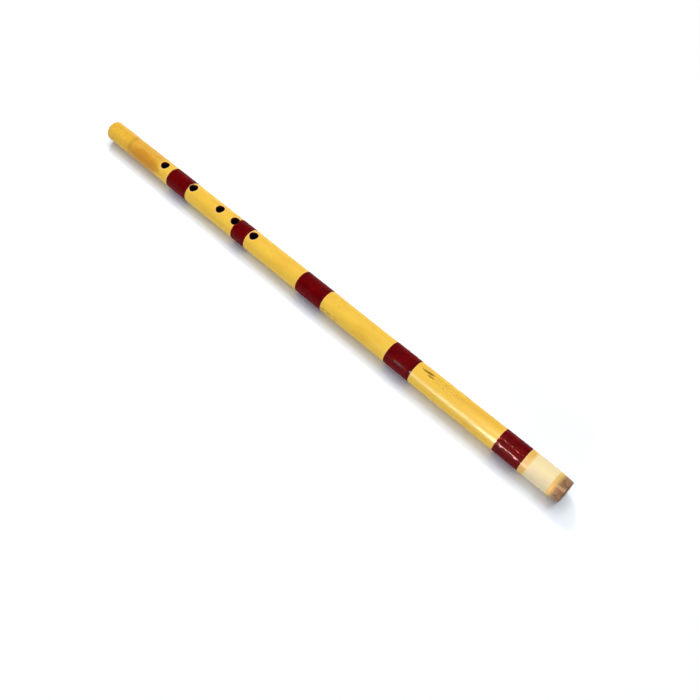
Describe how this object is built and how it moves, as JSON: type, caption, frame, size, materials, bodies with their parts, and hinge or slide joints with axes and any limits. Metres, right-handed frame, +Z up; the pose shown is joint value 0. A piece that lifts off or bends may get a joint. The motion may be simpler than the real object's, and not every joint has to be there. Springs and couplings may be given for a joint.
{
  "type": "ney flute",
  "caption": "End-blown cane flute with lacquered thread bindings over its nodes, a tapered brass mouthpiece sleeve, finger holes in line on top and a thumb hole below.",
  "frame": {"origin": "on the table under the middle of the flute's length, bottom centre of its box", "axes": "+X from the foot to the mouth end, +Z up through the finger holes, +Y to the player's side, level with the table"},
  "size_m": [0.62, 0.0236, 0.0236],
  "materials": {
    "cane": "smooth golden-yellow dried cane with a waxy natural skin",
    "brass": "hand-worn polished brass, browned towards the rim",
    "lacquered_thread": "dark maroon thread under clear gloss lacquer"
  },
  "bodies": {
    "root": {"cane_tube": "cane", "mouthpiece_sleeve": "brass", "thread_binding_1": "lacquered_thread", "thread_binding_2": "lacquered_thread", "thread_binding_3": "lacquered_thread", "thread_binding_4": "lacquered_thread", "thread_binding_5": "lacquered_thread"}
  },
  "joints": []
}
